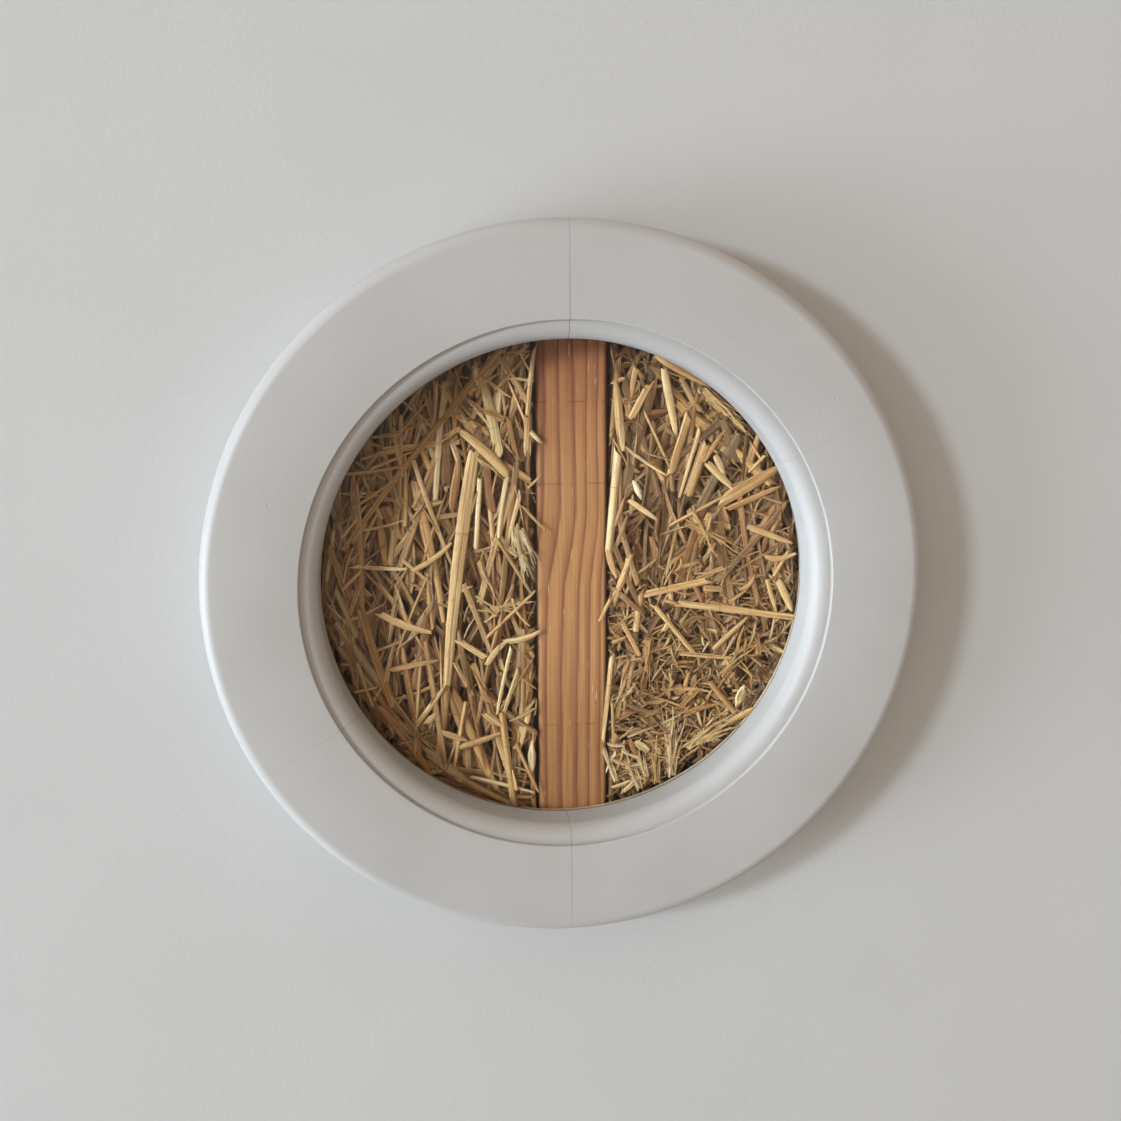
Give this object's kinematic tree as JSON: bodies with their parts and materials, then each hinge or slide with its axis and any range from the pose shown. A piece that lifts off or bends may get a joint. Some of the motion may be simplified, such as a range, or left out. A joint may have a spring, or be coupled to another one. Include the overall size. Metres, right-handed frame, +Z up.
{
  "type": "round truth window",
  "caption": "Round interior truth window: a moulded, painted timber ring holds a glass disc over packed straw and an upright timber stud in a lining hoop.",
  "frame": {"origin": "the ring's centre on the plane of the wall's surface, where the ring's back face lies", "axes": "-Y out of the wall towards the viewer, +Y into the wall, +X to the viewer's right, +Z up"},
  "size_m": [0.44, 0.082, 0.44],
  "materials": {
    "painted_timber": "satin warm grey paint, brushed",
    "tongue_plywood": "bare",
    "window_glass": "clear, polished",
    "glazing_tape": "matt black foam",
    "bead_timber": "bare",
    "pin_steel": "bright",
    "hoop_plywood": "bare birch plywood",
    "stud_timber": "sawn and planed softwood, bare",
    "screw_steel": "yellow zinc plate",
    "straw": "dry golden stalks"
  },
  "bodies": {
    "root": {"frame_segment_1": "painted_timber", "frame_segment_2": "painted_timber", "frame_segment_3": "painted_timber", "frame_segment_4": "painted_timber", "frame_segment_5": "painted_timber", "frame_segment_6": "painted_timber", "joint_tongue_1": "tongue_plywood", "joint_tongue_2": "tongue_plywood", "joint_tongue_3": "tongue_plywood", "joint_tongue_4": "tongue_plywood", "joint_tongue_5": "tongue_plywood", "joint_tongue_6": "tongue_plywood", "glass_pane": "window_glass", "glazing_tape": "glazing_tape", "glazing_bead": "bead_timber", "bead_pins": "pin_steel", "lining_hoop": "hoop_plywood", "stud": "stud_timber", "stud_screws": "screw_steel", "straw_left": "straw", "straw_right": "straw"}
  },
  "joints": []
}
